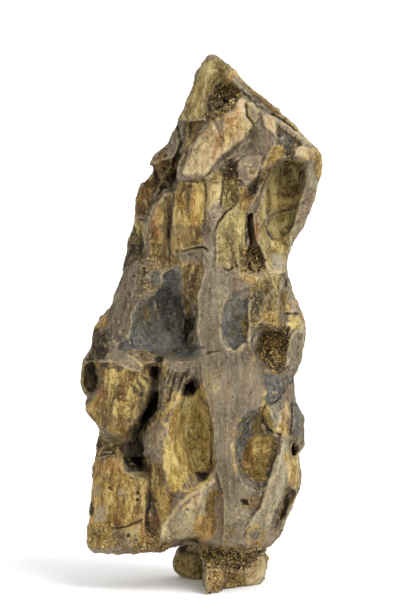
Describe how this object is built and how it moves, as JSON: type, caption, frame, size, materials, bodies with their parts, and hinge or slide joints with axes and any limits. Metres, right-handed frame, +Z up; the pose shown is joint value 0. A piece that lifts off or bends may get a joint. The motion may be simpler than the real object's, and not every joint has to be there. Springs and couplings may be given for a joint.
{
  "type": "dragon stone",
  "caption": "Upright weathered rock with deep scooped hollows, ridges and crevices, standing on a small flat foot.",
  "frame": {"origin": "in the flat spot that the stone rests on, under the middle of its weight", "axes": "+Z up along the stone's height, -Y towards the viewer of the front, +X to that viewer's right"},
  "size_m": [0.1216, 0.0882, 0.2682],
  "materials": {
    "weathered_rock": "matte"
  },
  "bodies": {
    "root": {"dragon_stone": "weathered_rock"}
  },
  "joints": []
}
